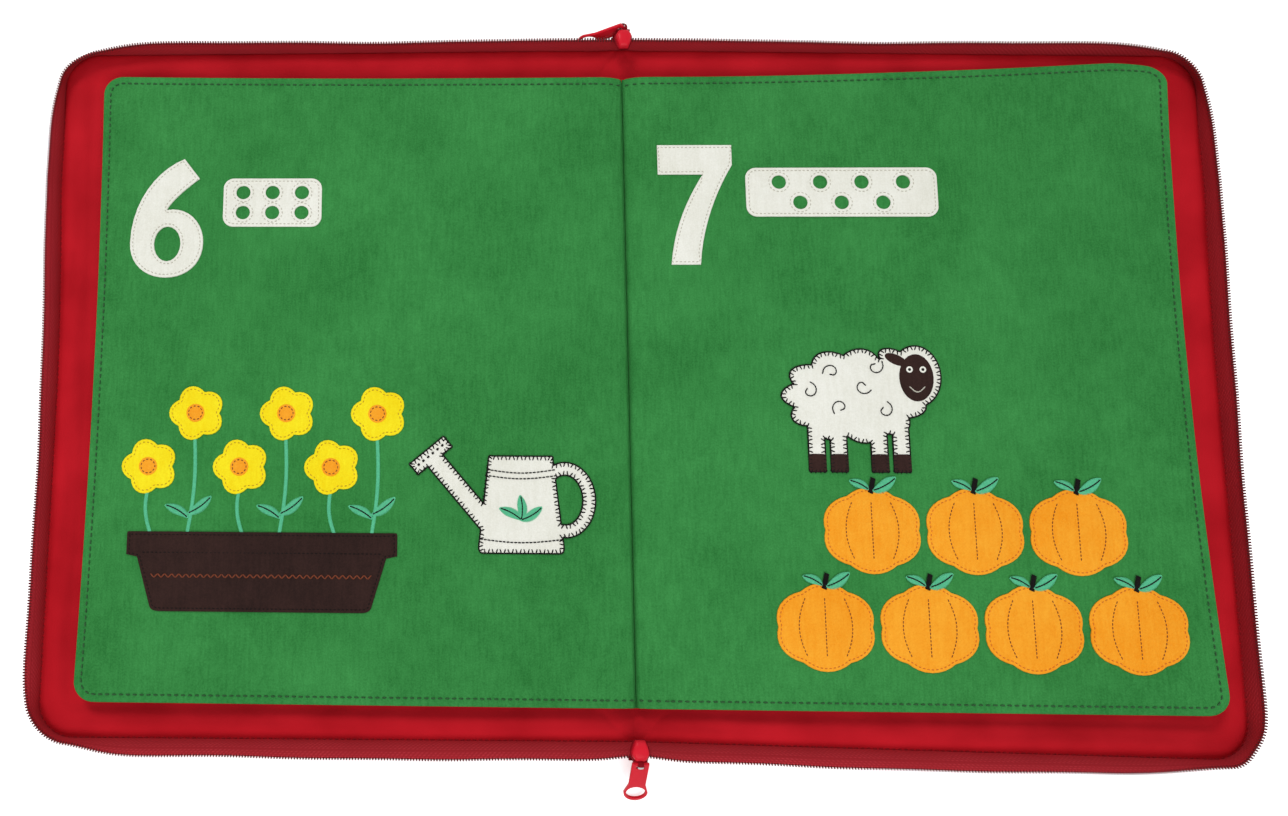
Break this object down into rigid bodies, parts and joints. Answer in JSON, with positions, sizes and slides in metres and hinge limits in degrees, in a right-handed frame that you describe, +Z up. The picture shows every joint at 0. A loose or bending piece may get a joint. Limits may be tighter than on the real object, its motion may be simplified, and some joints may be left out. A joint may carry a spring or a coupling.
{
  "type": "soft counting book",
  "caption": "Soft felt counting book lying open in a padded red zip-round case, with green felt pages, cream numerals and sewn-on felt shapes.",
  "frame": {"origin": "centre of the spine's underside, on the surface the open book lies on", "axes": "+X across the spread to the right-hand pages, +Y towards the head of the pages, +Z up"},
  "size_m": [0.553, 0.3631, 0.021],
  "materials": {
    "red_cloth": "satin",
    "red_satin": "satin",
    "foam": "matte",
    "zip_tape": "matte",
    "zip_coil": "satin",
    "red_paint": "gloss",
    "green_felt": "matte",
    "green_binding": "matte",
    "cream_felt": "matte",
    "brown_felt": "matte",
    "yellow_felt": "matte",
    "orange_felt": "matte"
  },
  "bodies": {
    "back": {"back_cover_shell": "red_cloth", "back_cover_foam": "foam", "back_cover_lining": "red_satin", "back_zip_tape": "zip_tape", "back_zip_coil": "zip_coil", "upper_right_tape_end": "zip_tape", "lower_right_tape_end": "zip_tape"},
    "spine": {"spine_shell": "red_cloth", "spine_foam": "foam", "spine_lining": "red_satin", "binding_strip": "green_binding"},
    "front": {"front_cover_shell": "red_cloth", "front_cover_foam": "foam", "front_cover_lining": "red_satin", "front_zip_tape": "zip_tape", "front_zip_coil": "zip_coil", "upper_left_tape_end": "zip_tape", "lower_left_tape_end": "zip_tape"},
    "leaf_1": {"page_1_felt": "green_felt", "page_2_felt": "green_felt", "leaf_1_gutter": "green_felt"},
    "leaf_2": {"page_3_felt": "green_felt", "page_4_felt": "green_felt", "leaf_2_gutter": "green_felt"},
    "leaf_3": {"page_5_felt": "green_felt", "page_6_felt": "green_felt", "leaf_3_gutter": "green_felt", "numeral_6": "cream_felt", "tile_6": "cream_felt", "planter": "brown_felt", "watering_can": "cream_felt", "flower_1": "yellow_felt", "flower_2": "yellow_felt", "flower_3": "yellow_felt", "flower_4": "yellow_felt", "flower_5": "yellow_felt", "flower_6": "yellow_felt"},
    "leaf_4": {"page_7_felt": "green_felt", "page_8_felt": "green_felt", "leaf_4_gutter": "green_felt", "numeral_7": "cream_felt", "tile_7": "cream_felt", "sheep": "cream_felt", "pumpkin_1": "orange_felt", "pumpkin_2": "orange_felt", "pumpkin_3": "orange_felt", "pumpkin_4": "orange_felt", "pumpkin_5": "orange_felt", "pumpkin_6": "orange_felt", "pumpkin_7": "orange_felt"},
    "leaf_5": {"page_9_felt": "green_felt", "page_10_felt": "green_felt", "leaf_5_gutter": "green_felt"},
    "leaf_6": {"page_11_felt": "green_felt", "page_12_felt": "green_felt", "leaf_6_gutter": "green_felt"},
    "upper_slider_body": {"upper_slider": "red_paint"},
    "lower_slider_body": {"lower_slider": "red_paint"},
    "upper_pull_body": {"upper_pull": "red_paint"},
    "lower_pull_body": {"lower_pull": "red_paint"}
  },
  "joints": [
    {"name": "spine", "type": "hinge", "parent": "back", "child": "spine", "pos_m": [0.0127, 0, 0.003], "axis": [0, 1, 0], "range_deg": [0, 90], "deforming": ["leaf_4_gutter", "leaf_5_gutter", "leaf_6_gutter", "upper_right_tape_end", "lower_right_tape_end"]},
    {"name": "front", "type": "hinge", "parent": "spine", "child": "front", "pos_m": [-0.0127, 0, 0.003], "axis": [0, 1, 0], "range_deg": [0, 90], "deforming": ["leaf_1_gutter", "leaf_2_gutter", "leaf_3_gutter", "upper_left_tape_end", "lower_left_tape_end"]},
    {"name": "leaf_1", "type": "hinge", "parent": "front", "child": "leaf_1", "pos_m": [0, 0, 0.0157], "axis": [0, -1, 0], "range_deg": [-180, 0]},
    {"name": "leaf_2", "type": "hinge", "parent": "leaf_1", "child": "leaf_2", "pos_m": [0, 0, 0.0157], "axis": [0, -1, 0], "range_deg": [-180, 0]},
    {"name": "leaf_3", "type": "hinge", "parent": "leaf_2", "child": "leaf_3", "pos_m": [0, 0, 0.0157], "axis": [0, -1, 0], "range_deg": [-180, 0]},
    {"name": "leaf_6", "type": "hinge", "parent": "back", "child": "leaf_6", "pos_m": [0, 0, 0.0157], "axis": [0, 1, 0], "range_deg": [-180, 0]},
    {"name": "leaf_5", "type": "hinge", "parent": "leaf_6", "child": "leaf_5", "pos_m": [0, 0, 0.0157], "axis": [0, 1, 0], "range_deg": [-180, 0]},
    {"name": "leaf_4", "type": "hinge", "parent": "leaf_5", "child": "leaf_4", "pos_m": [0, 0, 0.0157], "axis": [0, 1, 0], "range_deg": [-180, 0]},
    {"name": "upper_slider", "type": "slide", "parent": "spine", "child": "upper_slider_body", "axis": [-1, 0, 0], "range_m": [-0.225, 0]},
    {"name": "lower_slider", "type": "slide", "parent": "spine", "child": "lower_slider_body", "axis": [-1, 0, 0], "range_m": [-0.225, 0]},
    {"name": "upper_pull", "type": "hinge", "parent": "upper_slider_body", "child": "upper_pull_body", "pos_m": [0, 0.1718, 0.0177], "axis": [0.615, 0, -0.7885], "range_deg": [0, 165]},
    {"name": "lower_pull", "type": "hinge", "parent": "lower_slider_body", "child": "lower_pull_body", "pos_m": [0, -0.1718, 0.0177], "axis": [-1, 0, 0], "range_deg": [0, 135]}
  ]
}
